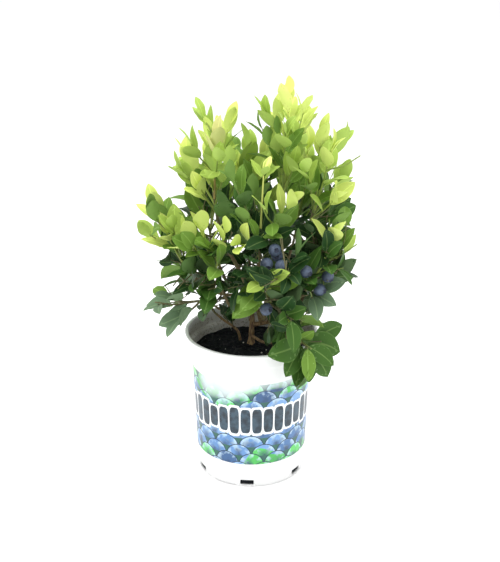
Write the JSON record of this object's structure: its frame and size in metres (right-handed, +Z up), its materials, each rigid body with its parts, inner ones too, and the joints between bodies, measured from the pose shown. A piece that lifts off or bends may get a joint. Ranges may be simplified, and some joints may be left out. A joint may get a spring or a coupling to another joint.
{
  "type": "potted blueberry bush",
  "caption": "Compact leafy berry shrub with slate-blue fruit, growing in a round white nursery pot with a printed band, a rolled lip and drain slots",
  "frame": {"origin": "the middle of the pot's flat underside, where the pot stands", "axes": "+Z up the plant, -Y towards the side the picture shows, +X to that side's right"},
  "size_m": [0.2677, 0.2477, 0.5],
  "materials": {
    "pot": "moulded white plastic, satin, with a printed band",
    "soil": "damp dark bark and peat mix with pale chips",
    "bark": "tan-brown woody bark, greener on young wood",
    "foliage_young": "yellow-green young leaves, soft sheen",
    "foliage_fresh": "fresh green leaves, satin",
    "foliage_mature": "mature dark green leaves, satin with pale ribs",
    "foliage_deep": "deep blue-green leaves, satin",
    "fruit": "slate-blue berries with a pale bloom"
  },
  "bodies": {
    "root": {"bough_back": "bark", "bough_back_left": "bark", "bough_back_right": "bark", "bough_far_right": "bark", "bough_front": "bark", "bough_front_left": "bark", "bough_left": "bark", "bough_low_back": "bark", "bough_low_front": "bark", "bough_low_left": "bark", "bough_mid_left": "bark", "bough_mid_right": "bark", "bough_overhang": "bark", "bough_right": "bark", "foliage_back": "foliage_fresh", "foliage_back_left": "foliage_mature", "foliage_back_right": "foliage_mature", "foliage_far_right": "foliage_fresh", "foliage_front": "foliage_fresh", "foliage_front_left": "foliage_mature", "foliage_low_back": "foliage_deep", "foliage_low_cane": "foliage_deep", "foliage_low_front": "foliage_mature", "foliage_low_left": "foliage_deep", "foliage_mid_left": "foliage_mature", "foliage_mid_right": "foliage_mature", "foliage_overhang": "foliage_fresh", "foliage_top_left": "foliage_young", "foliage_top_right": "foliage_young", "low_cane": "bark", "pot": "pot", "soil": "soil", "trunk": "bark"}
  },
  "joints": []
}
